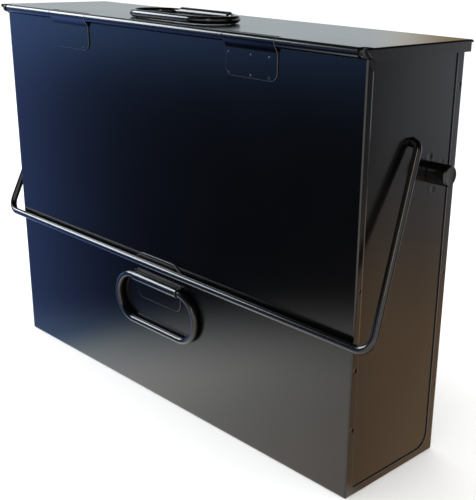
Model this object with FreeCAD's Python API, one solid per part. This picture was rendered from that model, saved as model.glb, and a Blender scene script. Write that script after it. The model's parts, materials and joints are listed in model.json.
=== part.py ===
"""Sheet-steel safe case: folded body, lift-up lid, swing-up front cover, bail handle and two ring handles.

Millimetres. +Z is up, -Y is the front, +X is the right-hand side seen from the front.
The origin is the centre of the footprint, on the surface that the case stands on.
"""
import FreeCAD, Part
import math
import os

V = FreeCAD.Vector

# Driving dimensions of the case
WIDTH = 450.0           # over the body flanges
DEPTH = 110.0           # over the front and back panels
HEIGHT = 337.0          # to the top of the closed lid
SHEET = 1.0             # sheet thickness
GAP = 0.3               # between parts that move past each other
BEND = 1.6              # outer radius of a fold
SIDE_BEND = 1.3         # outer radius of the upright folds

HALF_W = WIDTH / 2
HALF_D = DEPTH / 2
FRONT = -HALF_D
BACK = HALF_D

# Body
SEAM_Z = 128.6          # joint between the fixed lower front and the cover
SEAM_GAP = 0.8
FLANGE = 7.0            # flanges lapped over the side walls
BACK_FLANGE = 8.0
SOLE_FLANGE = 6.4
SIDE_OUT = HALF_W - SHEET
SIDE_IN = SIDE_OUT - SHEET
WALL_TOP = HEIGHT - SHEET - 0.5
STRIP_LOW = 110.0       # stop strip behind the seam
STRIP_HIGH = 137.0
STRIP_CLEAR = 2.0       # from the strip's ends to the side walls

# Hinge across the top front edge
ROD_R = 2.42
BORE_R = 2.5
BARREL_R = BORE_R + SHEET
ROD_Y = FRONT - 1.5
ROD_Z = HEIGHT - BARREL_R
BARREL_HALF = 220.0
EAR_R = BARREL_R
CAP_R = 3.5
CAP_LENGTH = 2.4
KNUCKLE_X = 117.0       # centre of each hinge plate
KNUCKLE_HALF = 27.2
KNUCKLE_GAP = 0.6
PLATE_LOW = 305.5
PLATE_JOGGLE = 325.5    # where a hinge plate leaves the cover
PLATE_CORNER = 7.0

# Lid
LID_SIDE = 4.2          # overhang at the sides
LID_BACK = 3.4
LID_FLANGE = 8.5
LID_NOTCH_Y = ROD_Y + BARREL_R + 0.7
LID_CORNER_CHAMFER = 8.0
LID_CORNER_GAP = 1.4

# Cover
COVER_TOP = HEIGHT - 7.8
COVER_CHAMFER = 7.0
TAB_SHEET = 1.2
TAB_LOW = 126.0
TAB_SHOULDER = 131.2
TAB_HIGH = 137.0
TAB_HALF = 31.5
TAB_TOP_HALF = 23.0

# Bail
WIRE_R = 3.15
PIVOT_Z = 269.0
BAR_Z = 130.0
BAR_Y = FRONT - TAB_SHEET - GAP - WIRE_R
ARM_TOP_X = HALF_W + 5.0
BAR_CORNER_X = HALF_W + 20.0
PIVOT_BEND = 6.0
CORNER_BEND = 12.0
WIRE_END_X = HALF_W - 7.4
PIVOT_HOLE_R = 3.9
DOUBLER = 36.0
DOUBLER_SHEET = 1.5
DOUBLER_HOLE_R = 3.6
RETAINER_R = 7.0
RETAINER_T = 1.4

# Side pegs
PEG_R = 8.0
PEG_LENGTH = 16.5
PEG_Y = 27.0
PEG_Z = 243.0
PEG_CHAMFER = 1.0
SCREW_R = 3.0
SCREW_DEPTH = 11.0
SCREW_HEAD_R = 5.0
SCREW_HEAD_T = 3.0
SOCKET_R = 1.7
SOCKET_DEPTH = 1.8
WASHER_R = 8.0
WASHER_T = 1.2

# Ring handles
RING_R = 3.0            # radius of the ring's wire
RING_LENGTH = 115.0     # outside, along X
RING_HEIGHT = 49.4      # outside
RING_SHIFT = -2.0       # where the ring rests along its clip
RING_CLEAR = 0.4        # between the wire and the sheet behind it
RING_DROP = RING_HEIGHT - 2 * RING_R
RING_STRAIGHT = RING_LENGTH - RING_HEIGHT
CLIP_HALF = 30.5
CLIP_BORE = RING_R + GAP
CLIP_FOOT = 19.5        # from the bar's centre to the end of the long flange
CLIP_LIP = 6.6          # from the bar's centre to the end of the short flange
CLIP_CORNER = 8.0
FRONT_RING_Z = 113.5
LID_RING_Y = 1.0


def on_plane(axis, offset, u, v):
    """A point of an outline drawn square to the named axis."""
    return {"x": V(offset, u, v), "y": V(u, offset, v), "z": V(u, v, offset)}[axis]


def rounded_edges(points, closed):
    """Straight edges through (point, radius) pairs, with an arc at each corner that has a radius."""
    count = len(points)
    starts, ends, arcs = [], [], []
    for i, (corner, radius) in enumerate(points):
        inner = closed or 0 < i < count - 1
        if radius <= 0 or not inner:
            starts.append(corner)
            ends.append(corner)
            arcs.append(None)
            continue
        back = (points[i - 1][0] - corner).normalize()
        ahead = (points[(i + 1) % count][0] - corner).normalize()
        half = back.getAngle(ahead) / 2
        reach = radius / math.tan(half)
        middle = (back + ahead).normalize()
        top = corner + middle * (radius / math.sin(half) - radius)
        starts.append(corner + back * reach)
        ends.append(corner + ahead * reach)
        arcs.append(top)
    edges = []
    for i in range(count):
        if arcs[i] is not None:
            edges.append(Part.Arc(starts[i], arcs[i], ends[i]).toShape())
        follower = (i + 1) % count
        if (closed or follower) and ends[i].distanceToPoint(starts[follower]) > 1e-6:
            edges.append(Part.makeLine(ends[i], starts[follower]))
    return edges


def sheet(corners, axis, low, high):
    """A flat plate from low to high along an axis. Corners are (u, v) or (u, v, radius)."""
    points = [(on_plane(axis, low, c[0], c[1]), c[2] if len(c) > 2 else 0.0) for c in corners]
    face = Part.Face(Part.Wire(rounded_edges(points, True)))
    return face.extrude(on_plane(axis, high, 0, 0) - on_plane(axis, low, 0, 0))


def block(x, y, z):
    """A box from three (low, high) pairs."""
    return Part.makeBox(x[1] - x[0], y[1] - y[0], z[1] - z[0], V(x[0], y[0], z[0]))


def rod_x(radius, x0, x1, y, z):
    """A round bar along X."""
    return Part.makeCylinder(radius, x1 - x0, V(x0, y, z), V(1, 0, 0))


def tube_x(outer, inner, x0, x1, y, z):
    """A round tube along X."""
    return rod_x(outer, x0, x1, y, z).cut(rod_x(inner, x0 - 1, x1 + 1, y, z))


def bent_wire(points, radius):
    """Round wire along a route of (point, bend radius) pairs."""
    route = Part.Wire(rounded_edges(points, False))
    start = points[0][0]
    heading = points[1][0] - start
    section = Part.Wire(Part.Circle(start, heading, radius).toShape())
    return route.makePipeShell([section], True, False)


def mirrored(shape):
    """The same shape on the left-hand side."""
    return shape.mirror(V(0, 0, 0), V(1, 0, 0))


def pair(shape):
    """The shape and its mirror image, as separate solids."""
    return Part.makeCompound([shape, mirrored(shape)])


def fold_edges(shape, x, y, radius):
    """Rounds the upright folds at +-x and the given y, and the folds that they run on into."""
    edges = [e for e in shape.Edges if abs(abs(e.CenterOfMass.x) - x) < 1e-4
             and abs(e.CenterOfMass.y - y) < 1e-4 and e.Length > 50]
    return shape.makeFillet(radius, edges)


def body_wrap():
    """Lower front, floor and back in one folded sheet, with flanges lapped over the side walls."""
    seam = SEAM_Z - SEAM_GAP / 2
    inner_front, inner_back = FRONT + SHEET, BACK - SHEET
    profile = [(FRONT, seam), (FRONT, 0, BEND), (BACK, 0, BEND), (BACK, WALL_TOP),
               (inner_back, WALL_TOP), (inner_back, SHEET, BEND - SHEET),
               (inner_front, SHEET, BEND - SHEET), (inner_front, seam)]
    shell = sheet(profile, "x", -HALF_W, HALF_W)
    flange = [(FRONT, seam), (FRONT, 0, BEND), (BACK, 0, BEND), (BACK, WALL_TOP),
              (BACK - BACK_FLANGE, WALL_TOP), (BACK - BACK_FLANGE, SOLE_FLANGE, 12.0),
              (FRONT + FLANGE, SOLE_FLANGE, 4.0), (FRONT + FLANGE, seam)]
    side = sheet(flange, "x", SIDE_OUT, HALF_W)
    wrap = shell.fuse([side, mirrored(side)]).removeSplitter()
    return fold_edges(wrap, HALF_W, FRONT, SIDE_BEND)


def side_panel():
    """Right-hand side wall, with the ear that carries the hinge rod."""
    front = FRONT + SHEET + GAP
    wall = block((SIDE_IN, SIDE_OUT), (front, BACK - SHEET), (SHEET, WALL_TOP))
    neck = block((SIDE_IN, SIDE_OUT), (ROD_Y, front), (ROD_Z - EAR_R, WALL_TOP))
    ear = rod_x(EAR_R, SIDE_IN, SIDE_OUT, ROD_Y, ROD_Z)
    holes = [rod_x(ROD_R, SIDE_IN - 1, SIDE_OUT + 1, ROD_Y, ROD_Z),
             rod_x(PIVOT_HOLE_R, SIDE_IN - 1, SIDE_OUT + 1, 0, PIVOT_Z),
             rod_x(SCREW_R, SIDE_IN - 1, SIDE_OUT + 1, PEG_Y, PEG_Z)]
    return wall.fuse([neck, ear]).removeSplitter().cut(holes)


def cover_stop_strip():
    """Joggled strip behind the top of the lower front, which the closed cover meets."""
    half = SIDE_IN - STRIP_CLEAR
    weld_y, stop_y = FRONT + SHEET, FRONT + SHEET + GAP
    seam = SEAM_Z - SEAM_GAP
    profile = [(weld_y, STRIP_LOW), (weld_y, seam - 1), (stop_y, seam), (stop_y, STRIP_HIGH),
               (stop_y + SHEET, STRIP_HIGH), (stop_y + SHEET, seam), (weld_y + SHEET, seam - 1),
               (weld_y + SHEET, STRIP_LOW)]
    return sheet(profile, "x", -half, half)


def hinge_rod():
    """Steel rod that the lid and the cover both turn on."""
    end = SIDE_OUT + CAP_LENGTH - SHEET
    return rod_x(ROD_R, -end, end, ROD_Y, ROD_Z)


def rod_end_caps():
    """Push-on caps over the rod's two ends."""
    cap = rod_x(CAP_R, SIDE_OUT, SIDE_OUT + CAP_LENGTH, ROD_Y, ROD_Z)
    rim = [e for e in cap.Edges if abs(e.CenterOfMass.x - SIDE_OUT - CAP_LENGTH) < 1e-4]
    cap = cap.makeFillet(SHEET, rim)
    return pair(cap.cut(rod_x(ROD_R, SIDE_OUT - 1, SIDE_OUT + CAP_LENGTH - SHEET, ROD_Y, ROD_Z)))


def bail_doubler():
    """Square plate welded inside the right-hand wall, round the bail's pivot hole."""
    low = PIVOT_Z - DOUBLER / 2
    high = PIVOT_Z + DOUBLER / 2
    corners = [(-DOUBLER / 2, low, 4.0), (DOUBLER / 2, low, 4.0),
               (DOUBLER / 2, high, 4.0), (-DOUBLER / 2, high, 4.0)]
    plate = sheet(corners, "x", SIDE_IN - DOUBLER_SHEET, SIDE_IN)
    return plate.cut(rod_x(DOUBLER_HOLE_R, SIDE_IN - 3, SIDE_IN + 1, 0, PIVOT_Z))


def side_peg():
    """Round peg on the right-hand wall, tapped for its screw."""
    tip = SIDE_OUT + PEG_LENGTH
    peg = rod_x(PEG_R, SIDE_OUT, tip, PEG_Y, PEG_Z)
    rim = [e for e in peg.Edges if abs(e.CenterOfMass.x - tip) < 1e-4]
    peg = peg.makeChamfer(PEG_CHAMFER, rim)
    return peg.cut(rod_x(SCREW_R, SIDE_OUT - 1, SIDE_OUT + SCREW_DEPTH, PEG_Y, PEG_Z))


def peg_screws():
    """Socket-head screws that hold the pegs from inside."""
    head_x = SIDE_IN - WASHER_T
    shank = rod_x(SCREW_R, head_x, SIDE_OUT + SCREW_DEPTH, PEG_Y, PEG_Z)
    head = rod_x(SCREW_HEAD_R, head_x - SCREW_HEAD_T, head_x, PEG_Y, PEG_Z)
    socket_x = head_x - SCREW_HEAD_T
    hexagon = [(PEG_Y + SOCKET_R * math.cos(math.radians(60 * i)),
                PEG_Z + SOCKET_R * math.sin(math.radians(60 * i))) for i in range(6)]
    socket = sheet(hexagon, "x", socket_x, socket_x + SOCKET_DEPTH)
    return pair(shank.fuse(head).removeSplitter().cut(socket))


def peg_washers():
    """Plain washers between the screw heads and the side walls."""
    return pair(tube_x(WASHER_R, SCREW_R, SIDE_IN - WASHER_T, SIDE_IN, PEG_Y, PEG_Z))


def hinge_plate():
    """Right-hand hinge plate: welded to the cover, joggled forward and rolled round the rod."""
    x0, x1 = KNUCKLE_X - KNUCKLE_HALF, KNUCKLE_X + KNUCKLE_HALF
    flat = sheet([(x0, PLATE_LOW, PLATE_CORNER), (x1, PLATE_LOW, PLATE_CORNER),
                  (x1, PLATE_JOGGLE), (x0, PLATE_JOGGLE)], "y", FRONT - SHEET, FRONT)
    foot_y, foot_z = FRONT - SHEET, PLATE_JOGGLE
    to_rod_y, to_rod_z = ROD_Y - foot_y, ROD_Z - foot_z
    distance = math.hypot(to_rod_y, to_rod_z)
    lean = math.atan2(-to_rod_y, to_rod_z) + math.asin(BARREL_R / distance)
    outer = (ROD_Y - BARREL_R * math.cos(lean), ROD_Z - BARREL_R * math.sin(lean))
    inner = (ROD_Y - BORE_R * math.cos(lean), ROD_Z - BORE_R * math.sin(lean))
    inner_foot_z = inner[1] - (FRONT - inner[0]) / math.tan(lean)
    slope = sheet([(foot_y, foot_z), outer, inner, (FRONT, inner_foot_z), (FRONT, foot_z)],
                  "x", x0, x1)
    knuckle = rod_x(BARREL_R, x0, x1, ROD_Y, ROD_Z)
    bore = rod_x(BORE_R, x0 - 1, x1 + 1, ROD_Y, ROD_Z)
    return flat.fuse([slope, knuckle]).cut(bore).removeSplitter()


def cover_panel():
    """Swing-up front cover with flanges outside the side walls."""
    half = SIDE_OUT + GAP + SHEET
    low = SEAM_Z + SEAM_GAP / 2
    face = block((-half, half), (FRONT, FRONT + SHEET), (low, COVER_TOP))
    top = COVER_TOP - SHEET
    side = sheet([(FRONT, low), (FRONT + FLANGE, low), (FRONT + FLANGE, top - COVER_CHAMFER),
                  (FRONT, top)], "x", SIDE_OUT + GAP, half)
    panel = face.fuse([side, mirrored(side)]).removeSplitter()
    return fold_edges(panel, half, FRONT, SIDE_BEND)


def cover_tab():
    """Thumb tab welded at the middle of the cover's lower edge."""
    corners = [(-TAB_HALF, TAB_LOW), (TAB_HALF, TAB_LOW), (TAB_HALF, TAB_SHOULDER, 2.0),
               (TAB_TOP_HALF, TAB_HIGH, 5.0), (-TAB_TOP_HALF, TAB_HIGH, 5.0),
               (-TAB_HALF, TAB_SHOULDER, 2.0)]
    return sheet(corners, "y", FRONT - TAB_SHEET, FRONT)


def lid_panel():
    """Lid with side and back flanges, and a front edge rolled round the rod."""
    half, inner = HALF_W + LID_SIDE, HALF_W + LID_SIDE - SHEET
    front, back = ROD_Y - BARREL_R, BACK + LID_BACK
    under, hem = HEIGHT - SHEET, HEIGHT - LID_FLANGE
    lid = block((-half, half), (front, back), (hem, HEIGHT))
    folds = [e for e in lid.Edges if abs(e.CenterOfMass.z - HEIGHT) < 1e-4
             and abs(e.CenterOfMass.y - front) > 1e-4]
    lid = lid.makeFillet(BEND, folds)
    lid = lid.cut(block((-inner, inner), (front - 1, back - SHEET), (hem - 1, under)))
    lid = lid.cut(block((-inner, inner), (front - 1, ROD_Y), (hem - 1, HEIGHT + 1)))
    slant = [(front - 1, hem - 1), (front + LID_CORNER_CHAMFER, hem - 1), (front, under - SHEET),
             (front - 1, under - SHEET)]
    lid = lid.cut(sheet(slant, "x", -half - 1, half + 1))
    lid = lid.fuse(rod_x(BARREL_R, -BARREL_HALF, BARREL_HALF, ROD_Y, ROD_Z))
    lid = lid.cut(rod_x(BORE_R, -BARREL_HALF - 1, BARREL_HALF + 1, ROD_Y, ROD_Z))
    notch = KNUCKLE_HALF + KNUCKLE_GAP
    z = (hem - 1, HEIGHT + 1)
    cuts = [block((x - notch, x + notch), (front - 1, LID_NOTCH_Y), z)
            for x in (-KNUCKLE_X, KNUCKLE_X)]
    corner = block((BARREL_HALF, inner), (front - 1, LID_NOTCH_Y), z)
    relief = block((inner - LID_CORNER_GAP, half + 1), (back - SHEET - LID_CORNER_GAP, back + 1),
                   (hem - 1, under - SHEET))
    return lid.cut(cuts + [corner, mirrored(corner), relief, mirrored(relief)]).removeSplitter()


def handle_clip():
    """Strap over a ring's bar. The sheet behind it is the plane y = 0, with the front towards -Y."""
    centre = -(RING_CLEAR + RING_R)
    outer = CLIP_BORE + SHEET
    root = -SHEET - 0.2
    rise_out = math.sqrt(outer ** 2 - (centre + SHEET) ** 2)
    rise_in = math.sqrt(CLIP_BORE ** 2 - (centre - root) ** 2)
    left, right = -CLIP_HALF, CLIP_HALF

    def at(y, z):
        return on_plane("x", left, y, z)

    line = Part.makeLine
    edges = [
        line(at(0, -CLIP_FOOT), at(-SHEET, -CLIP_FOOT)),
        line(at(-SHEET, -CLIP_FOOT), at(-SHEET, -rise_out)),
        Part.Arc(at(-SHEET, -rise_out), at(centre - outer, 0), at(-SHEET, rise_out)).toShape(),
        line(at(-SHEET, rise_out), at(-SHEET, CLIP_LIP)),
        line(at(-SHEET, CLIP_LIP), at(0, CLIP_LIP)),
        line(at(0, CLIP_LIP), at(0, rise_in)),
        line(at(0, rise_in), at(root, rise_in)),
        Part.Arc(at(root, rise_in), at(centre - CLIP_BORE, 0), at(root, -rise_in)).toShape(),
        line(at(root, -rise_in), at(0, -rise_in)),
        line(at(0, -rise_in), at(0, -CLIP_FOOT)),
    ]
    strap = Part.Face(Part.Wire(edges)).extrude(V(right - left, 0, 0))
    outline = sheet([(left, -CLIP_FOOT, CLIP_CORNER), (right, -CLIP_FOOT, CLIP_CORNER),
                     (right, CLIP_LIP), (left, CLIP_LIP)], "y", centre - outer - 1, 1)
    return strap.common(outline).removeSplitter()


def ring_handle():
    """Long oval ring of round wire, hanging from its top bar in the frame of its clip."""
    y = -(RING_CLEAR + RING_R)
    side = (RING_STRAIGHT + RING_DROP) / 2
    bend = RING_DROP / 2 - 1e-3
    route = [(V(0, y, 0), 0), (V(side, y, 0), bend), (V(side, y, -RING_DROP), bend),
             (V(0, y, -RING_DROP), 0)]
    half = bent_wire(route, RING_R)
    ring = half.fuse(mirrored(half)).removeSplitter()
    return ring.translated(V(RING_SHIFT, 0, 0))


def at_front(shape):
    """Moves a handle part from its own frame to the lower front panel."""
    return shape.translated(V(0, FRONT, FRONT_RING_Z))


def on_lid(shape):
    """Lays a handle part on the lid, with its ring towards the front."""
    laid = shape.rotated(V(0, 0, 0), V(1, 0, 0), -90)
    return laid.translated(V(0, LID_RING_Y, HEIGHT))


def bail_wire():
    """Bail handle: one wire hooked through both side walls, with arms that spread to the bar."""
    route = [(V(WIRE_END_X, 0, PIVOT_Z), 0), (V(ARM_TOP_X, 0, PIVOT_Z), PIVOT_BEND),
             (V(BAR_CORNER_X, BAR_Y, BAR_Z), CORNER_BEND),
             (V(-BAR_CORNER_X, BAR_Y, BAR_Z), CORNER_BEND),
             (V(-ARM_TOP_X, 0, PIVOT_Z), PIVOT_BEND), (V(-WIRE_END_X, 0, PIVOT_Z), 0)]
    return bent_wire(route, WIRE_R)


def bail_retainers():
    """Push-on washers that keep the bail's ends inside the walls."""
    x1 = SIDE_IN - DOUBLER_SHEET - GAP
    return pair(tube_x(RETAINER_R, WIRE_R, x1 - RETAINER_T, x1, 0, PIVOT_Z))


def main():
    os.makedirs("parts", exist_ok=True)
    wall, doubler, peg, plate = side_panel(), bail_doubler(), side_peg(), hinge_plate()
    nodes = {
        "body_wrap": body_wrap(),
        "side_panel_right": wall,
        "side_panel_left": mirrored(wall),
        "cover_stop_strip": cover_stop_strip(),
        "hinge_rod": hinge_rod(),
        "rod_end_caps": rod_end_caps(),
        "bail_doubler_right": doubler,
        "bail_doubler_left": mirrored(doubler),
        "side_peg_right": peg,
        "side_peg_left": mirrored(peg),
        "peg_screws": peg_screws(),
        "peg_washers": peg_washers(),
        "front_handle_clip": at_front(handle_clip()),
        "front_ring_handle": at_front(ring_handle()),
        "lid_panel": lid_panel(),
        "lid_handle_clip": on_lid(handle_clip()),
        "lid_ring_handle": on_lid(ring_handle()),
        "cover_panel": cover_panel(),
        "hinge_plate_right": plate,
        "hinge_plate_left": mirrored(plate),
        "cover_tab": cover_tab(),
        "bail_wire": bail_wire(),
        "bail_retainers": bail_retainers(),
    }
    for name, shape in nodes.items():
        box = shape.BoundBox
        print(name, shape.isValid(), len(shape.Solids), round(shape.Volume / 1000, 2),
              [round(v, 2) for v in (box.XMin, box.XMax, box.YMin, box.YMax, box.ZMin, box.ZMax)])
        shape.exportStep("parts/" + name + ".step")


main()
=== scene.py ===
"""Looks of the sheet-steel safe case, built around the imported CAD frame.

Every length is in metres, in the frame of the CAD model: the origin is the centre of the footprint, +Z is
up, -Y is the front. Each sub-assembly is a class that holds its sizes and makes its own pieces.
"""

import json
import logging
import math
from dataclasses import dataclass, field
from enum import Enum
from typing import Callable, Iterable, Sequence

import bmesh
import bpy
from mathutils import Matrix, Vector


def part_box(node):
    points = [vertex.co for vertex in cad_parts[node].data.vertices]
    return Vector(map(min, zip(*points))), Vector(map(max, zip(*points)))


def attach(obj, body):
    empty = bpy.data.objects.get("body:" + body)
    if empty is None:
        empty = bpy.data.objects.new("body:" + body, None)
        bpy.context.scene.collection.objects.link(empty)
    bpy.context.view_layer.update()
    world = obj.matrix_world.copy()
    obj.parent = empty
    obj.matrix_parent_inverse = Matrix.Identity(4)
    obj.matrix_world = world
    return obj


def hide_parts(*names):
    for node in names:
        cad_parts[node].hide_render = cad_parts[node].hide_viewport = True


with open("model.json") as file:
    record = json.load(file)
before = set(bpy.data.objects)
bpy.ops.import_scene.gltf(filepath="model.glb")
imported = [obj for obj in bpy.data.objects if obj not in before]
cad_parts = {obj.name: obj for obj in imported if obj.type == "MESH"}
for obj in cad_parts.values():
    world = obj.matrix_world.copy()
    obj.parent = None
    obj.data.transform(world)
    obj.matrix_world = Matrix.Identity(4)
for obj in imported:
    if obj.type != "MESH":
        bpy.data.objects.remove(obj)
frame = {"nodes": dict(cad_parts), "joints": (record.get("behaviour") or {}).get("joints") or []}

log = logging.getLogger("safe_case")
MM = 0.001
FLAT_TURN = 0.008          # faces that turn by less than this, in radians, make one even area
SMOOTH_LIMIT = 0.74        # cosine of the turn past which two faces are shaded apart


class Side(Enum):
    """Which side of the case a piece is on, as the sign of its X."""

    LEFT = -1
    RIGHT = 1

    @property
    def word(self) -> str:
        """The side's name in lower case."""
        return self.name.lower()


class Axis(Enum):
    """A frame axis, as an index into a vector."""

    X = 0
    Y = 1
    Z = 2

    @property
    def vector(self) -> Vector:
        """The axis as a unit vector."""
        return Vector([1.0 if i == self.value else 0.0 for i in range(3)])


# --------------------------------------------------------------------------- finishes


def add_node(tree: bpy.types.NodeTree, kind: str, **inputs: object) -> bpy.types.Node:
    """Adds a shader node and sets the sockets named in inputs.

    Args:
        tree: The node tree that the node goes in.
        kind: The node's type name.
        inputs: Socket names, with _ for a space, and their values.

    Returns:
        The new node.
    """
    node = tree.nodes.new(kind)
    for name, value in inputs.items():
        node.inputs[name.replace("_", " ")].default_value = value
    return node


@dataclass(frozen=True)
class PowderCoat:
    """Black stoved powder coat: a satin skin with fine orange peel and a little uneven gloss."""

    name: str
    colour: tuple[float, float, float]
    roughness: float
    gloss_drift: float = 0.04
    drift_size: float = 0.06
    peel_size: float = 0.0022
    peel_depth: float = 0.000012

    def material(self) -> bpy.types.Material:
        """Makes the finish, or returns the one already made.

        Returns:
            The material.
        """
        made = bpy.data.materials.get(self.name)
        if made:
            return made
        made = bpy.data.materials.new(self.name)
        made.use_nodes = True
        tree = made.node_tree
        tree.nodes.clear()
        out = add_node(tree, "ShaderNodeOutputMaterial")
        skin = add_node(tree, "ShaderNodeBsdfPrincipled", IOR=1.5)
        place = add_node(tree, "ShaderNodeTexCoord")
        drift = add_node(tree, "ShaderNodeTexNoise", Scale=1 / self.drift_size, Detail=3.0)
        level = add_node(tree, "ShaderNodeMapRange")
        level.inputs["To Min"].default_value = self.roughness - self.gloss_drift
        level.inputs["To Max"].default_value = self.roughness + self.gloss_drift
        tint = add_node(tree, "ShaderNodeMixRGB")
        tint.inputs["Color1"].default_value = (*[c * 0.75 for c in self.colour], 1)
        tint.inputs["Color2"].default_value = (*[c * 1.3 for c in self.colour], 1)
        peel = add_node(tree, "ShaderNodeTexNoise", Scale=1 / self.peel_size, Detail=1.0)
        bump = add_node(tree, "ShaderNodeBump", Strength=1.0, Distance=self.peel_depth)
        link = tree.links.new
        link(place.outputs["Object"], drift.inputs["Vector"])
        link(place.outputs["Object"], peel.inputs["Vector"])
        link(drift.outputs["Fac"], level.inputs["Value"])
        link(drift.outputs["Fac"], tint.inputs["Fac"])
        link(tint.outputs["Color"], skin.inputs["Base Color"])
        link(level.outputs["Result"], skin.inputs["Roughness"])
        link(peel.outputs["Fac"], bump.inputs["Height"])
        link(bump.outputs["Normal"], skin.inputs["Normal"])
        link(skin.outputs["BSDF"], out.inputs["Surface"])
        return made


@dataclass(frozen=True)
class ZincPlate:
    """Bright zinc plate on screws and washers, with a fine uneven grain."""

    name: str
    colour: tuple[float, float, float] = (0.42, 0.42, 0.43)
    roughness: float = 0.34
    grain_size: float = 0.0009

    def material(self) -> bpy.types.Material:
        """Makes the finish, or returns the one already made.

        Returns:
            The material.
        """
        made = bpy.data.materials.get(self.name)
        if made:
            return made
        made = bpy.data.materials.new(self.name)
        made.use_nodes = True
        tree = made.node_tree
        tree.nodes.clear()
        out = add_node(tree, "ShaderNodeOutputMaterial")
        skin = add_node(tree, "ShaderNodeBsdfPrincipled", Metallic=1.0)
        place = add_node(tree, "ShaderNodeTexCoord")
        grain = add_node(tree, "ShaderNodeTexNoise", Scale=1 / self.grain_size, Detail=4.0)
        tint = add_node(tree, "ShaderNodeMixRGB")
        tint.inputs["Color1"].default_value = (*[c * 0.8 for c in self.colour], 1)
        tint.inputs["Color2"].default_value = (*[c * 1.15 for c in self.colour], 1)
        level = add_node(tree, "ShaderNodeMapRange")
        level.inputs["To Min"].default_value = self.roughness - 0.08
        level.inputs["To Max"].default_value = self.roughness + 0.1
        link = tree.links.new
        link(place.outputs["Object"], grain.inputs["Vector"])
        link(grain.outputs["Fac"], tint.inputs["Fac"])
        link(grain.outputs["Fac"], level.inputs["Value"])
        link(tint.outputs["Color"], skin.inputs["Base Color"])
        link(level.outputs["Result"], skin.inputs["Roughness"])
        link(skin.outputs["BSDF"], out.inputs["Surface"])
        return made


class Finish(Enum):
    """The finishes of this case, each with the record's slot that it belongs to."""

    CASE = ("case_paint", PowderCoat("case_powder_coat", (0.0011, 0.0011, 0.0012), 0.175, 0.015))
    LID = ("lid_paint", PowderCoat("lid_powder_coat", (0.0011, 0.0011, 0.0013), 0.22, 0.02))
    HANDLE = ("handle_paint", PowderCoat("handle_gloss_coat", (0.0014, 0.0014, 0.0015), 0.18, 0.02))
    PEG = ("peg_paint", PowderCoat("peg_gloss_coat", (0.0014, 0.0013, 0.0013), 0.20, 0.03))
    CAP = ("case_paint", PowderCoat("cap_dull_plastic", (0.0020, 0.0020, 0.0024), 0.62, 0.05))
    ROD = ("bare_steel", PowderCoat("rod_oiled_black", (0.0020, 0.0020, 0.0022), 0.50, 0.05))
    ZINC = ("bare_steel", ZincPlate("zinc_plate"))

    @property
    def slot(self) -> str:
        """The record's material slot."""
        return self.value[0]

    @property
    def material(self) -> bpy.types.Material:
        """The finish's material."""
        return self.value[1].material()


# Lighter grey, duller coat for the rounded sheet edges: a painted highlight, standing in for the light
# that the edges catch.
EDGE_HIGHLIGHT_COAT = PowderCoat("painted_edge_highlight_coat", (0.085, 0.086, 0.090), 0.30, 0.03)


# --------------------------------------------------------------------------- mesh work


@dataclass(frozen=True)
class Mark:
    """A round dent (depth above 0) or weld pip (depth under 0) on a flat face of a sheet."""

    place: Vector
    normal: Vector
    radius: float = 2.4 * MM
    depth: float = 0.25 * MM

    def cut_lines(self) -> list[tuple[Axis, float]]:
        """Lists the planes that give the mesh enough points to hold the mark.

        Returns:
            Pairs of an axis and a value along it.
        """
        steps = (-1.5, -1.1, -0.8, -0.5, -0.2, 0.2, 0.5, 0.8, 1.1, 1.5)
        across = [a for a in Axis if abs(self.normal[a.value]) < 0.5]
        return [(a, self.place[a.value] + s * self.radius) for a in across for s in steps]

    def shift(self, point: Vector, normal: Vector) -> Vector:
        """Says how far a point of the sheet moves.

        Args:
            point: The point, before any mark.
            normal: The mesh normal there.

        Returns:
            The move as a vector.
        """
        away = point - self.place
        if normal.dot(self.normal) < 0.8 or abs(away.dot(self.normal)) > 0.4 * MM:
            return Vector()
        reach = away.length / self.radius
        if reach > 1.5:
            return Vector()
        bowl = math.exp(-2.2 * reach * reach)
        rim = 0.28 * math.exp(-10.0 * (reach - 1.0) ** 2)
        return self.normal * (rim - bowl) * self.depth


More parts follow.
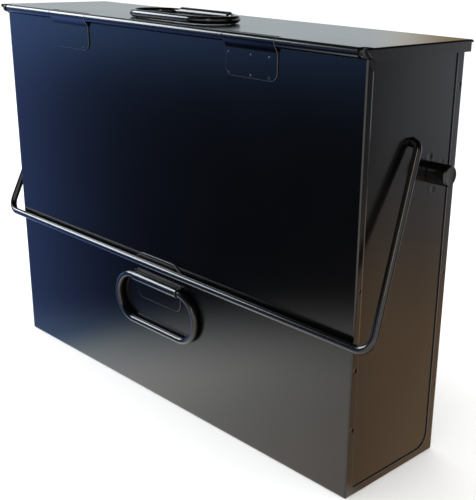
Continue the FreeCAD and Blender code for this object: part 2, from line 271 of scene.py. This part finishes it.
class Blank:
    """A piece being made: a bmesh with the sheet-metal and turning work that this case needs."""

    def __init__(self) -> None:
        """Starts with an empty mesh."""
        self.mesh = bmesh.new()

    @classmethod
    def from_node(cls, node: str) -> "Blank":
        """Starts from a CAD node's shape, with its flat faces whole again.

        Args:
            node: The CAD node's name.

        Returns:
            The blank.
        """
        blank = cls()
        bm = blank.mesh
        bm.from_mesh(frame["nodes"][node].data)
        bmesh.ops.remove_doubles(bm, verts=bm.verts, dist=0.002 * MM)
        bmesh.ops.dissolve_limit(bm, angle_limit=math.radians(0.5), verts=bm.verts, edges=bm.edges)
        bm.normal_update()
        return blank

    def break_edges(self, width: float = 0.40 * MM, steepest: float = 35.0, segments: int = 3,
                    painted_highlight: bool = False) -> "Blank":
        """Rounds the sharp edges, as deburring and paint do.

        Args:
            width: How far back the rounding starts.
            steepest: Edges that turn by less than this, in degrees, stay.
            segments: Facets across each rounding.
            painted_highlight: True gives these edges a lighter grey, duller coat, a painted highlight
                along them.

        Returns:
            The blank itself.
        """
        limit = math.radians(steepest)
        sharp = [e for e in self.mesh.edges if len(e.link_faces) == 2 and e.calc_face_angle(0) > limit]
        made = bmesh.ops.bevel(self.mesh, geom=sharp, offset=width, segments=segments, profile=0.5,
                               affect="EDGES", clamp_overlap=True)
        self.mesh.normal_update()
        if painted_highlight:
            # Painted highlight: the rounded edges take the lighter grey coat.
            for face in made["faces"]:
                face.material_index = 1
        return self

    def score(self, lines: Iterable[tuple[Axis, float]]) -> "Blank":
        """Cuts the faces along planes, so that later work has points to move.

        Args:
            lines: Pairs of an axis and a value along it.

        Returns:
            The blank itself.
        """
        bm = self.mesh
        for axis, value in lines:
            everything = [*bm.verts, *bm.edges, *bm.faces]
            bmesh.ops.bisect_plane(bm, geom=everything, dist=1e-7, plane_co=axis.vector * value,
                                   plane_no=axis.vector)
        bm.normal_update()
        return self

    def press(self, marks: Sequence[Mark]) -> "Blank":
        """Presses dents and weld pips into the flat faces.

        Args:
            marks: The marks.

        Returns:
            The blank itself.
        """
        self.score(line for mark in marks for line in mark.cut_lines())
        moves = {v: sum((m.shift(v.co, v.normal) for m in marks), Vector()) for v in self.mesh.verts}
        for vert, move in moves.items():
            vert.co += move
        return self

    def bow(self, shift: Callable[[Vector], Vector]) -> "Blank":
        """Moves every point by a smooth function of its place, such as a sheet's slight bowing.

        Args:
            shift: Gives the move for a place.

        Returns:
            The blank itself.
        """
        for vert in self.mesh.verts:
            vert.co += shift(vert.co)
        return self

    def face_widths(self) -> list[float]:
        """Finds how wide the even area round each face is, so that flats can be told from narrow bends.

        Returns:
            The width for each face, in the mesh's face order.
        """
        self.mesh.faces.index_update()
        widths = [0.0] * len(self.mesh.faces)
        seen = set()
        for first in self.mesh.faces:
            if first in seen:
                continue
            seen.add(first)
            area, queue = [first], [first]
            while queue:
                for edge in queue.pop().edges:
                    if len(edge.link_faces) != 2 or edge.calc_face_angle(1.0) > FLAT_TURN:
                        continue
                    for face in edge.link_faces:
                        if face not in seen:
                            seen.add(face)
                            area.append(face)
                            queue.append(face)
            places = [v.co for f in area for v in f.verts]
            spans = [max(p[i] for p in places) - min(p[i] for p in places) for i in range(3)]
            width = sum(f.calc_area() for f in area) / max(math.sqrt(sum(s * s for s in spans)), 1e-7)
            for face in area:
                widths[face.index] = width
        return widths

    def corner_normals(self) -> list[Vector]:
        """Works out shading normals that keep flats flat and let only the bends turn.

        Returns:
            A normal for each face corner, in the mesh's order.
        """
        widths = self.face_widths()
        normals = []
        for face in self.mesh.faces:
            for loop in face.loops:
                fan = [f for f in loop.vert.link_faces if f.normal.dot(face.normal) > SMOOTH_LIMIT]
                fan = fan or [face]
                widest = max(widths[f.index] for f in fan)
                total = Vector()
                for other in fan:
                    if widths[other.index] > 0.5 * widest:
                        corner = next(c for c in other.loops if c.vert == loop.vert)
                        total += other.normal * corner.calc_angle()
                normals.append(total.normalized() if total.length > 1e-9 else face.normal.copy())
        return normals

    def piece(self, name: str, body: str, finish: Finish, nodes: Sequence[str] = ()) -> bpy.types.Object:
        """Turns the blank into a finished piece of the case.

        Args:
            name: The piece's name.
            body: The CAD body that it moves with.
            finish: Its finish.
            nodes: The CAD nodes that it stands for.

        Returns:
            The Blender object.
        """
        bmesh.ops.recalc_face_normals(self.mesh, faces=self.mesh.faces)
        normals = self.corner_normals()
        data = bpy.data.meshes.new(name)
        self.mesh.to_mesh(data)
        self.mesh.free()
        data.polygons.foreach_set("use_smooth", [True] * len(data.polygons))
        data.normals_split_custom_set(normals)
        made = bpy.data.objects.new(name, data)
        bpy.context.scene.collection.objects.link(made)
        data.materials.append(finish.material)
        # The lighter grey edge coat, a painted highlight, goes in the second slot.
        if any(face.material_index for face in data.polygons):
            data.materials.append(EDGE_HIGHLIGHT_COAT.material())
        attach(made, body)
        finish.slot
        if nodes:
            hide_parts(*nodes)
        log.info("%s: %d faces on %s", name, len(data.polygons), body)
        return made


def route_points(corners: Sequence[tuple[Vector, float]], step: float = 6.0) -> list[Vector]:
    """Rounds the corners of a bent wire's route.

    Args:
        corners: Points, each with its bend radius.
        step: Degrees of bend between two points of an arc.

    Returns:
        The points of the wire's centre line.
    """
    line = [corners[0][0].copy()]
    for i in range(1, len(corners) - 1):
        corner, radius = corners[i]
        back = (corners[i - 1][0] - corner).normalized()
        ahead = (corners[i + 1][0] - corner).normalized()
        turn = math.pi - back.angle(ahead)
        half = (math.pi - turn) / 2
        middle = (back + ahead).normalized()
        centre = corner + middle * (radius / math.sin(half))
        start = corner + back * (radius / math.tan(half)) - centre
        spin = back.cross(ahead).normalized()
        count = max(2, round(math.degrees(turn) / step))
        for k in range(count + 1):
            line.append(centre + Matrix.Rotation(-turn * k / count, 3, spin) @ start)
    line.append(corners[-1][0].copy())
    return line


def wire_blank(line: Sequence[Vector], radius: float, closed: bool, sides: int = 28) -> Blank:
    """Sweeps round wire along its centre line.

    Args:
        line: Points of the centre line.
        radius: The wire's radius.
        closed: True for a ring with its two ends welded.
        sides: Facets round the wire.

    Returns:
        The blank.
    """
    blank = Blank()
    bm = blank.mesh
    count = len(line)
    rings = []
    across = None
    for i, place in enumerate(line):
        before = line[i - 1] if closed or i else place
        after = line[(i + 1) % count] if closed or i < count - 1 else place
        along = (after - before).normalized()
        if across is None:
            across = along.orthogonal().normalized()
        across = (across - along * across.dot(along)).normalized()
        other = along.cross(across)
        turns = [2 * math.pi * k / sides for k in range(sides)]
        rings.append([bm.verts.new(place + (across * math.cos(a) + other * math.sin(a)) * radius)
                      for a in turns])
    pairs = list(zip(rings, rings[1:])) + ([(rings[-1], rings[0])] if closed else [])
    for one, two in pairs:
        for k in range(sides):
            bm.faces.new((one[k], one[(k + 1) % sides], two[(k + 1) % sides], two[k]))
    if not closed:
        bm.faces.new(list(reversed(rings[0])))
        bm.faces.new(rings[-1])
        blank.break_edges(radius * 0.15, 50.0, 3)
    return blank


def turned_blank(profile: Sequence[tuple[float, float]], start: Vector, sides: int = 56) -> Blank:
    """Turns a profile about an axis along X.

    Args:
        profile: (distance along X, radius) pairs from one end to the other, on the axis at both.
        start: Where the axis begins.
        sides: Facets round the axis.

    Returns:
        The blank.
    """
    blank = Blank()
    bm = blank.mesh
    verts = [bm.verts.new(start + Vector((x, 0.0, r))) for x, r in profile]
    edges = [bm.edges.new(pair) for pair in zip(verts, verts[1:])]
    bmesh.ops.spin(bm, geom=verts + edges, cent=start, axis=Vector((1, 0, 0)), dvec=Vector(),
                   angle=2 * math.pi, steps=sides, use_merge=True)
    bmesh.ops.remove_doubles(bm, verts=bm.verts, dist=1e-6)
    return blank


def mirrored(blank: Blank) -> Blank:
    """Flips a blank from the right-hand side to the left.

    Args:
        blank: The right-hand blank.

    Returns:
        The same blank, now left-handed.
    """
    bmesh.ops.scale(blank.mesh, vec=Vector((-1, 1, 1)), verts=blank.mesh.verts)
    bmesh.ops.reverse_faces(blank.mesh, faces=blank.mesh.faces)
    return blank


def even_lines(axis: Axis, low: float, high: float, count: int) -> list[tuple[Axis, float]]:
    """Evenly spaced cutting planes strictly between two values."""
    return [(axis, low + (high - low) * (i + 1) / (count + 1)) for i in range(count)]


def bell(value: float, low: float, high: float) -> float:
    """A smooth bump: 0 at and beyond both ends of a span, 1 in its middle."""
    share = (value - low) / (high - low)
    return math.sin(math.pi * share) ** 2 if 0 < share < 1 else 0.0


# --------------------------------------------------------------------------- sub-assemblies


@dataclass
class CaseBody:
    """The fixed case: folded wrap, side walls, stop strip and what is welded or screwed to them."""

    weld_rows: tuple[float, ...] = (0.059, 0.108)
    weld_inset: float = 3.6 * MM
    back_weld_rows: tuple[float, ...] = (0.062, 0.160, 0.305)
    back_weld_inset: float = 4.0 * MM
    sheet_sag: float = 0.35 * MM
    wall_sag: float = 0.3 * MM
    body: str = "case"
    low: Vector = field(default_factory=lambda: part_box("body_wrap")[0])
    high: Vector = field(default_factory=lambda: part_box("body_wrap")[1])

    def bow_back(self, place: Vector) -> Vector:
        """The slight bowing of the back sheet, none at its folds.

        Args:
            place: A point of the sheet.

        Returns:
            How far the point moves.
        """
        across = bell(place.x, self.low.x, self.high.x)
        if place.y > self.high.y - 3 * MM:
            return Vector((0, -self.sheet_sag * across * bell(place.z, self.low.z, self.high.z), 0))
        return Vector()

    def make_wrap(self) -> None:
        """Folded lower front, floor and back, with weld marks on its flanges."""
        marks = []
        for side in Side:
            out = Vector((side.value, 0, 0))
            face = self.high.x * side.value
            marks += [Mark(Vector((face, self.low.y + self.weld_inset, z)), out) for z in self.weld_rows]
            marks += [Mark(Vector((face, self.high.y - self.back_weld_inset, z)), out)
                      for z in self.back_weld_rows]
        blank = Blank.from_node("body_wrap").break_edges(0.25 * MM, painted_highlight=True)
        blank.score(even_lines(Axis.X, self.low.x, self.high.x, 24))
        blank.score(even_lines(Axis.Z, self.low.z, self.high.z, 18))
        blank.press(marks).bow(self.bow_back)
        blank.piece("wrap_sheet", self.body, Finish.CASE, ["body_wrap"])

    def make_side(self, side: Side) -> None:
        """One side wall, pulled in slightly round the peg's screw.

        Args:
            side: Which side of the case.
        """
        node = f"side_panel_{side.word}"
        low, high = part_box(node)
        peg_low, peg_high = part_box(f"side_peg_{side.word}")
        peg = (peg_low + peg_high) / 2
        outer = high.x if side is Side.RIGHT else low.x
        out = Vector((side.value, 0, 0))
        dents = [Mark(Vector((outer, peg.y + dy * MM, peg.z + dz * MM)), out, 4.0 * MM, d * MM)
                 for dy, dz, d in ((-4.5, 12.5, 0.12), (2.0, -13.0, 0.10), (11.0, 6.0, 0.08))]
        blank = Blank.from_node(node).break_edges(0.35 * MM)
        blank.score(even_lines(Axis.Y, low.y, high.y, 10)).score(even_lines(Axis.Z, low.z, high.z, 24))
        blank.press(dents)

        def bulge(place: Vector) -> Vector:
            """The wall's slight hollow between its folds."""
            amount = bell(place.y, low.y + 4 * MM, high.y) * bell(place.z, low.z, high.z)
            return out * (-self.wall_sag * amount)

        blank.bow(bulge)
        blank.piece(f"side_wall_{side.word}", self.body, Finish.CASE, [node])

    def make_peg(self, side: Side) -> None:
        """One turned side peg with a small foot radius and a chamfered, slightly dished tip.

        Args:
            side: Which side of the case.
        """
        low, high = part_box(f"side_peg_{side.word}")
        radius = (high.z - low.z) / 2
        length = high.x - low.x
        chamfer = 1.0 * MM
        base = Vector((min(abs(low.x), abs(high.x)), (low.y + high.y) / 2, (low.z + high.z) / 2))
        profile = [(0.0, 0.0), (0.0, radius - 0.5 * MM), (0.12 * MM, radius - 0.15 * MM),
                   (0.5 * MM, radius), (1.2 * MM, radius), (length - chamfer - 0.3 * MM, radius),
                   (length - chamfer, radius - 0.06 * MM),
                   (length - 0.55 * chamfer, radius - 0.4 * chamfer),
                   (length - 0.2 * chamfer, radius - 0.8 * chamfer), (length, radius - 1.25 * chamfer),
                   (length, radius - 1.9 * chamfer), (length - 0.12 * MM, radius * 0.55),
                   (length - 0.15 * MM, 0.0)]
        blank = turned_blank(profile, base)
        if side is Side.LEFT:
            blank = mirrored(blank)
        blank.piece(f"peg_{side.word}", self.body, Finish.PEG, [f"side_peg_{side.word}"])

    def make_fittings(self) -> None:
        """Hidden and small fittings of the case, each from its CAD shape with broken edges."""
        fittings = {"cover_stop_strip": Finish.CASE, "hinge_rod": Finish.ROD, "rod_end_caps": Finish.CAP,
                    "bail_doubler_right": Finish.CASE, "bail_doubler_left": Finish.CASE,
                    "peg_screws": Finish.ZINC, "peg_washers": Finish.ZINC}
        for node, finish in fittings.items():
            blank = Blank.from_node(node).break_edges(0.15 * MM)
            blank.piece(f"{node}_made", self.body, finish, [node])

    def make(self) -> None:
        """Makes all the pieces of the fixed case."""
        self.make_wrap()
        for side in Side:
            self.make_side(side)
            self.make_peg(side)
        self.make_fittings()


@dataclass
class RingHandle:
    """A long oval ring of round wire, and the strap that holds it."""

    ring_node: str
    ring_body: str
    clip_node: str
    clip_body: str
    up: Vector
    arc_step: float = 6.0

    def make_ring(self) -> None:
        """The ring: two straight bars joined by half-round ends."""
        low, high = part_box(self.ring_node)
        size = high - low
        middle = (low + high) / 2
        tall = max(abs(size.dot(self.up)), 1e-6)
        wire = min(size.y, size.z) / 2
        bend = tall / 2 - wire
        straight = size.x / 2 - wire - bend
        line = []
        count = round(180 / self.arc_step)
        for sign in (1, -1):
            for k in range(count + 1):
                angle = math.pi / 2 - math.pi * k / count
                line.append(middle + Vector((sign * (straight + bend * math.cos(angle)), 0, 0))
                            + self.up * (sign * bend * math.sin(angle)))
        blank = wire_blank(line, wire, True)
        blank.piece(f"{self.ring_node}_wire", self.ring_body, Finish.HANDLE, [self.ring_node])

    def make_clip(self) -> None:
        """The strap, with its edges broken."""
        blank = Blank.from_node(self.clip_node).break_edges(0.3 * MM, painted_highlight=True)
        blank.piece(f"{self.clip_node}_strap", self.clip_body, Finish.HANDLE, [self.clip_node])

    def make(self) -> None:
        """Makes the ring and its strap."""
        self.make_ring()
        self.make_clip()


@dataclass
class Lid:
    """The lid: folded on three sides, rolled round the hinge rod on the fourth."""

    crown: float = 0.25 * MM
    body: str = "lid"

    def make(self) -> None:
        """Makes the lid's sheet."""
        low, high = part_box("lid_panel")
        blank = Blank.from_node("lid_panel").break_edges()
        blank.score(even_lines(Axis.X, low.x, high.x, 26)).score(even_lines(Axis.Y, low.y, high.y, 8))

        def sag(place: Vector) -> Vector:
            """The top's slight hollow, none at its folds and its rolled edge.

            Args:
                place: A point of the lid.

            Returns:
                How far the point moves.
            """
            if place.z < high.z - 1.2 * MM or place.y < low.y + 9 * MM:
                return Vector()
            amount = bell(place.x, low.x, high.x) * bell(place.y, low.y + 9 * MM, high.y)
            return Vector((0, 0, -self.crown * amount))

        blank.bow(sag)
        blank.piece("lid_sheet", self.body, Finish.LID, ["lid_panel"])


@dataclass
class Cover:
    """The swing-up front cover with its hinge plates and thumb tab."""

    sheet_sag: float = 0.30 * MM
    edge_taper: float = 1.4 * MM
    edge_depth: float = 0.35 * MM
    flange_dent_z: float = 0.170
    body: str = "cover"
    weld_columns: tuple[float, ...] = (-0.024, 0.0, 0.019)
    weld_rows: tuple[float, ...] = (0.322, 0.3075)

    def make_panel(self) -> None:
        """The cover's sheet, with flanges outside the side walls."""
        low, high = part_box("cover_panel")
        marks = [Mark(Vector((x, low.y + 4 * MM, self.flange_dent_z)), Vector((sign, 0, 0)),
                      2.0 * MM, 0.2 * MM)
                 for sign, x in ((-1, low.x), (1, high.x))]
        blank = Blank.from_node("cover_panel")
        edge_y = high.y - self.edge_taper

        def taper(place: Vector) -> Vector:
            """The easing of the flanges' outer faces towards their free edges.

            Args:
                place: A point of the cover.

            Returns:
                How far the point moves.
            """
            if place.y < high.y - 0.01 * MM or abs(place.x) < high.x - 0.2 * MM:
                return Vector()
            return Vector((math.copysign(self.edge_depth, -place.x), 0, 0))

        blank.score([(Axis.Y, edge_y)]).bow(taper).break_edges(0.2 * MM, painted_highlight=True)
        blank.score(even_lines(Axis.X, low.x, high.x, 28)).score(even_lines(Axis.Z, low.z, high.z, 14))
        blank.press(marks)

        def sag(place: Vector) -> Vector:
            """The face's slight hollow between its folds.

            Args:
                place: A point of the cover.

            Returns:
                How far the point moves.
            """
            if place.y > low.y + 1.2 * MM:
                return Vector()
            amount = bell(place.x, low.x, high.x) * bell(place.z, low.z, high.z)
            return Vector((0, self.sheet_sag * amount, 0))

        blank.bow(sag)
        blank.piece("cover_sheet", self.body, Finish.CASE, ["cover_panel"])

    def make_hinge_plate(self, side: Side) -> None:
        """One hinge plate, with the pips of its spot welds.

        Args:
            side: Which side of the case.
        """
        node = f"hinge_plate_{side.word}"
        low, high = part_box(node)
        middle = (low.x + high.x) / 2
        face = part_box("cover_panel")[0].y - 1.0 * MM
        marks = [Mark(Vector((middle + dx, face, z)), Vector((0, -1, 0)), 1.3 * MM, -0.42 * MM)
                 for dx in self.weld_columns for z in self.weld_rows]
        blank = Blank.from_node(node).break_edges(0.25 * MM, painted_highlight=True)
        blank.press(marks)
        blank.piece(f"{node}_strap", self.body, Finish.CASE, [node])

    def make(self) -> None:
        """Makes all the pieces of the cover."""
        self.make_panel()
        for side in Side:
            self.make_hinge_plate(side)
        tab = Blank.from_node("cover_tab").break_edges(0.35 * MM, painted_highlight=True)
        tab.piece("thumb_tab", self.body, Finish.CASE, ["cover_tab"])


@dataclass
class Bail:
    """The wire bail that swings over the case, with the washers on its inner ends."""

    pivot_bend: float = 6.0 * MM
    corner_bend: float = 12.0 * MM
    top_reach: float = 5.0 * MM
    bar_reach: float = 20.0 * MM
    end_inset: float = 7.4 * MM
    body: str = "bail"

    def make(self) -> None:
        """Makes the bail's wire and its washers."""
        low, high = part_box("bail_wire")
        joint = next(j for j in frame["joints"] if j["name"] == "bail_swing")
        pivot = Vector(joint["pos_m"])
        wire = high.y - pivot.y
        case_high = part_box("body_wrap")[1]
        arm_x = case_high.x + self.top_reach
        end_x = case_high.x - self.end_inset
        bar = Vector((case_high.x + self.bar_reach, low.y + wire, low.z + wire))
        tip = Vector((arm_x, pivot.y, pivot.z))
        flip = Matrix.Diagonal((-1, 1, 1))
        right = [(Vector((end_x, pivot.y, pivot.z)), 0.0), (tip, self.pivot_bend), (bar, self.corner_bend)]
        left = [(flip @ place, bend) for place, bend in reversed(right)]
        line = route_points(right + left)
        wire_blank(line, wire, False).piece("bail_bent_wire", self.body, Finish.HANDLE, ["bail_wire"])
        blank = Blank.from_node("bail_retainers").break_edges(0.15 * MM)
        blank.piece("bail_washers", self.body, Finish.ZINC, ["bail_retainers"])


# --------------------------------------------------------------------------- studio


@dataclass(frozen=True)
class Glow:
    """A soft patch of light in the room, given by compass bearing and elevation in degrees.

    Bearings run from +X towards +Y. The patch is full inside the inner limits and gone at the outer ones.
    """

    bearing: float
    core: float
    edge: float
    low: tuple[float, float]
    high: tuple[float, float]
    colour: tuple[float, float, float]


@dataclass
class Studio:
    """Pale floor, soft room light and the camera."""

    glows: tuple[Glow, ...] = (
        Glow(152, 22, 28, (-45, -28), (14, 40), (0.80, 0.88, 0.92)),
        Glow(121, 5, 9, (-6, -1), (10, 24), (0.44, 0.34, 0.20)),
        Glow(225, 26, 62, (-9.0, -3.0), (-1, 8), (0.32, 0.62, 1.40)),
        Glow(194, 8, 20, (-44, -28), (-9, 0), (0.30, 0.52, 1.40)),
        Glow(85, 27, 36.5, (-24, -9), (6, 22), (0.92, 0.95, 1.03)),
        Glow(318, 40, 80, (-75, -60), (8, 34), (1.55, 1.50, 1.44)),
        Glow(0, 179, 180, (24, 52), (90, 91), (0.95, 0.98, 1.04)),
        Glow(68, 12, 27, (-55, -40), (-24, -13), (0.94, 0.62, 0.37)),
    )
    dim: tuple[float, float, float] = (0.010, 0.010, 0.011)
    floor_size: float = 30.0
    white: tuple[float, float, float, float] = (1.0, 1.0, 1.0, 1.0)
    eye: tuple[float, float, float] = (0.59940, -0.50765, 0.39641)
    eye_turn: tuple[float, float, float] = (70.0568, -1.5432, 43.9906)
    lens: float = 64.68
    shift: tuple[float, float] = (-0.1242, 0.0445)

    def fade(self, tree: bpy.types.NodeTree, value: bpy.types.NodeSocket, none: float,
             full: float) -> bpy.types.NodeSocket:
        """Adds a soft step to a node tree.

        Args:
            tree: The node tree.
            value: What the step depends on.
            none: The value that gives 0.
            full: The value that gives 1.

        Returns:
            The step's output.
        """
        step = add_node(tree, "ShaderNodeMapRange")
        step.interpolation_type = "SMOOTHSTEP"
        step.inputs["From Min"].default_value = none
        step.inputs["From Max"].default_value = full
        tree.links.new(value, step.inputs["Value"])
        return step.outputs["Result"]

    def glow_light(self, tree: bpy.types.NodeTree, glow: Glow, level: bpy.types.NodeSocket,
                   height: bpy.types.NodeSocket) -> bpy.types.NodeSocket:
        """Adds the nodes of one glow.

        Args:
            tree: The world's node tree.
            glow: The glow.
            level: The direction looked in, laid level, of length 1.
            height: The sine of the elevation looked at.

        Returns:
            The glow's light for that direction.
        """
        turn = math.radians(glow.bearing)
        dot = add_node(tree, "ShaderNodeVectorMath")
        dot.operation = "DOT_PRODUCT"
        dot.inputs[1].default_value = (math.cos(turn), math.sin(turn), 0)
        tree.links.new(level, dot.inputs[0])
        parts = [self.fade(tree, dot.outputs["Value"], math.cos(math.radians(glow.edge)),
                           math.cos(math.radians(glow.core)))]
        low = [math.sin(math.radians(a)) for a in glow.low]
        high = [math.sin(math.radians(a)) for a in glow.high]
        parts.append(self.fade(tree, height, low[0], low[1]))
        parts.append(self.fade(tree, height, high[1], high[0]))
        share = parts[0]
        for part in parts[1:]:
            both = add_node(tree, "ShaderNodeMath")
            both.operation = "MULTIPLY"
            tree.links.new(share, both.inputs[0])
            tree.links.new(part, both.inputs[1])
            share = both.outputs["Value"]
        scale = add_node(tree, "ShaderNodeVectorMath")
        scale.operation = "SCALE"
        scale.inputs[0].default_value = glow.colour
        tree.links.new(share, scale.inputs["Scale"])
        return scale.outputs["Vector"]

    def room(self) -> None:
        """Lights the scene with soft glows all round, and a white background behind the case."""
        world = bpy.data.worlds.new("soft_room")
        bpy.context.scene.world = world
        world.use_nodes = True
        tree = world.node_tree
        tree.nodes.clear()
        link = tree.links.new
        out = add_node(tree, "ShaderNodeOutputWorld")
        place = add_node(tree, "ShaderNodeTexCoord")
        split = add_node(tree, "ShaderNodeSeparateXYZ")
        flat = add_node(tree, "ShaderNodeVectorMath")
        flat.operation = "MULTIPLY"
        flat.inputs[1].default_value = (1, 1, 0)
        level = add_node(tree, "ShaderNodeVectorMath")
        level.operation = "NORMALIZE"
        link(place.outputs["Generated"], split.inputs["Vector"])
        link(place.outputs["Generated"], flat.inputs[0])
        link(flat.outputs["Vector"], level.inputs[0])
        base = add_node(tree, "ShaderNodeCombineXYZ", X=self.dim[0], Y=self.dim[1], Z=self.dim[2])
        total = base.outputs["Vector"]
        for glow in self.glows:
            both = add_node(tree, "ShaderNodeVectorMath")
            link(total, both.inputs[0])
            link(self.glow_light(tree, glow, level.outputs["Vector"], split.outputs["Z"]), both.inputs[1])
            total = both.outputs["Vector"]
        light = add_node(tree, "ShaderNodeBackground", Strength=1.0)
        paper = add_node(tree, "ShaderNodeBackground", Strength=1.0)
        paper.inputs["Color"].default_value = self.white
        seen = add_node(tree, "ShaderNodeLightPath")
        choice = add_node(tree, "ShaderNodeMixShader")
        link(total, light.inputs["Color"])
        link(seen.outputs["Is Camera Ray"], choice.inputs["Fac"])
        link(light.outputs["Background"], choice.inputs[1])
        link(paper.outputs["Background"], choice.inputs[2])
        link(choice.outputs["Shader"], out.inputs["Surface"])

    def softbox(self, name: str, place: Vector, aim: Vector, size: tuple[float, float], colour: Vector,
                power: float, seen_in_gloss: bool = True) -> None:
        """Hangs a rectangular soft light.

        Args:
            name: The light's name.
            place: Where it hangs.
            aim: The point that it faces.
            size: Its width and height.
            colour: Its colour.
            power: Its power in watts.
            seen_in_gloss: False hides it from reflections.
        """
        data = bpy.data.lights.new(name, "AREA")
        data.shape = "RECTANGLE"
        data.size, data.size_y = size
        data.color = colour
        data.energy = power
        light = bpy.data.objects.new(name, data)
        light.location = place
        light.rotation_mode = "QUATERNION"
        light.rotation_quaternion = (place - aim).to_track_quat("Z", "Y")
        light.visible_glossy = seen_in_gloss
        light.visible_camera = False
        bpy.context.scene.collection.objects.link(light)

    def lights(self) -> None:
        """Hangs the window-like softbox at the left, a warm room lamp and an even light for the floor."""
        middle = Vector((0, 0, 0.15))
        self.softbox("left_window", Vector((-2.0, -0.85, 1.35)), middle, (1.2, 0.9),
                     Vector((0.88, 0.95, 1.0)), 46)
        self.softbox("room_lamp", Vector((1.55, -1.65, 1.45)), middle, (0.5, 0.9),
                     Vector((1.0, 0.88, 0.68)), 9)
        data = bpy.data.lights.new("floor_light", "SUN")
        data.energy = 3.7
        data.angle = math.radians(110)
        sun = bpy.data.objects.new("floor_light", data)
        sun.visible_glossy = False
        bpy.context.scene.collection.objects.link(sun)

    def stage_plane(self, name: str, size: float, height: float,
                    material: bpy.types.Material) -> bpy.types.Object:
        """Lays a level square of floor.

        Args:
            name: The floor's name.
            size: Its side.
            height: Its level.
            material: Its finish.

        Returns:
            The Blender object.
        """
        bm = bmesh.new()
        bmesh.ops.create_grid(bm, x_segments=1, y_segments=1, size=size / 2)
        data = bpy.data.meshes.new(name)
        bm.to_mesh(data)
        bm.free()
        data.materials.append(material)
        plane = bpy.data.objects.new(name, data)
        plane.location = (0, 0, height)
        bpy.context.scene.collection.objects.link(plane)
        return plane

    def pale_floor(self) -> None:
        """The floor that the camera sees."""
        made = bpy.data.materials.new("pale_floor")
        made.use_nodes = True
        skin = made.node_tree.nodes["Principled BSDF"]
        skin.inputs["Base Color"].default_value = (0.88, 0.88, 0.88, 1)
        skin.inputs["Roughness"].default_value = 0.9
        floor = self.stage_plane("floor", self.floor_size, 0.0, made)
        floor.visible_glossy = False

    def table_glow(self) -> None:
        """The lit table top in front of the case, seen only in reflections such as the lower front's."""
        made = bpy.data.materials.new("table_glow")
        made.use_nodes = True
        tree = made.node_tree
        tree.nodes.clear()
        link = tree.links.new
        out = add_node(tree, "ShaderNodeOutputMaterial")
        place = add_node(tree, "ShaderNodeTexCoord")
        split = add_node(tree, "ShaderNodeSeparateXYZ")
        reach = add_node(tree, "ShaderNodeMath")
        tint = add_node(tree, "ShaderNodeValToRGB")
        shift = add_node(tree, "ShaderNodeMapRange")
        shift.inputs["From Min"].default_value = -0.25
        shift.inputs["From Max"].default_value = 0.25
        stops = ((0.12, (0.30, 0.47, 0.75)), (0.24, (0.85, 0.97, 1.00)), (0.38, (1.00, 1.00, 1.00)),
                 (0.50, (0.93, 0.93, 0.91)), (0.62, (0.75, 0.75, 0.72)), (0.74, (0.70, 0.66, 0.62)),
                 (0.90, (0.66, 0.60, 0.55)))
        ramp = tint.color_ramp
        while len(ramp.elements) < len(stops):
            ramp.elements.new(0.5)
        for element, (where, colour) in zip(ramp.elements, stops):
            element.position = where
            element.color = (*colour, 1)
        both = add_node(tree, "ShaderNodeMath")
        both.operation = "MULTIPLY"
        glow = add_node(tree, "ShaderNodeEmission", Strength=2.1)
        none = add_node(tree, "ShaderNodeBsdfTransparent")
        choice = add_node(tree, "ShaderNodeMixShader")
        link(place.outputs["Object"], split.inputs["Vector"])
        link(split.outputs["X"], reach.inputs[0])
        link(split.outputs["Y"], reach.inputs[1])
        link(self.fade(tree, reach.outputs["Value"], -0.43, -0.09), both.inputs[0])
        link(self.fade(tree, split.outputs["Y"], -0.030, -0.055), both.inputs[1])
        link(split.outputs["X"], shift.inputs["Value"])
        link(shift.outputs["Result"], tint.inputs["Fac"])
        link(tint.outputs["Color"], glow.inputs["Color"])
        link(both.outputs["Value"], choice.inputs["Fac"])
        link(none.outputs["BSDF"], choice.inputs[1])
        link(glow.outputs["Emission"], choice.inputs[2])
        link(choice.outputs["Shader"], out.inputs["Surface"])
        plane = self.stage_plane("table_round", 1.0, -0.4 * MM, made)
        plane.visible_camera = False
        plane.visible_diffuse = False
        plane.visible_shadow = False

    def camera(self) -> None:
        """Stands the camera at the front right, a little above the lid."""
        data = bpy.data.cameras.new("camera")
        data.sensor_width = 36.0
        data.lens = self.lens
        data.shift_x, data.shift_y = self.shift
        data.clip_end = 60.0
        eye = bpy.data.objects.new("camera", data)
        eye.location = self.eye
        eye.rotation_euler = [math.radians(a) for a in self.eye_turn]
        bpy.context.scene.collection.objects.link(eye)
        bpy.context.scene.camera = eye

    def make(self) -> None:
        """Sets up the room, the lights, the floor and the camera."""
        bpy.context.scene.view_settings.view_transform = "Standard"
        self.room()
        self.lights()
        self.pale_floor()
        self.table_glow()
        self.camera()


def main() -> None:
    """Builds every sub-assembly of the case and the studio round it."""
    logging.basicConfig(level=logging.INFO, format="%(name)s: %(message)s")
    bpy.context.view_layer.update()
    CaseBody().make()
    Lid().make()
    Cover().make()
    Bail().make()
    RingHandle("front_ring_handle", "front_ring", "front_handle_clip", "case", Vector((0, 0, 1))).make()
    RingHandle("lid_ring_handle", "lid_ring", "lid_handle_clip", "lid", Vector((0, 1, 0))).make()
    Studio().make()


if __name__ == "__main__":
    main()
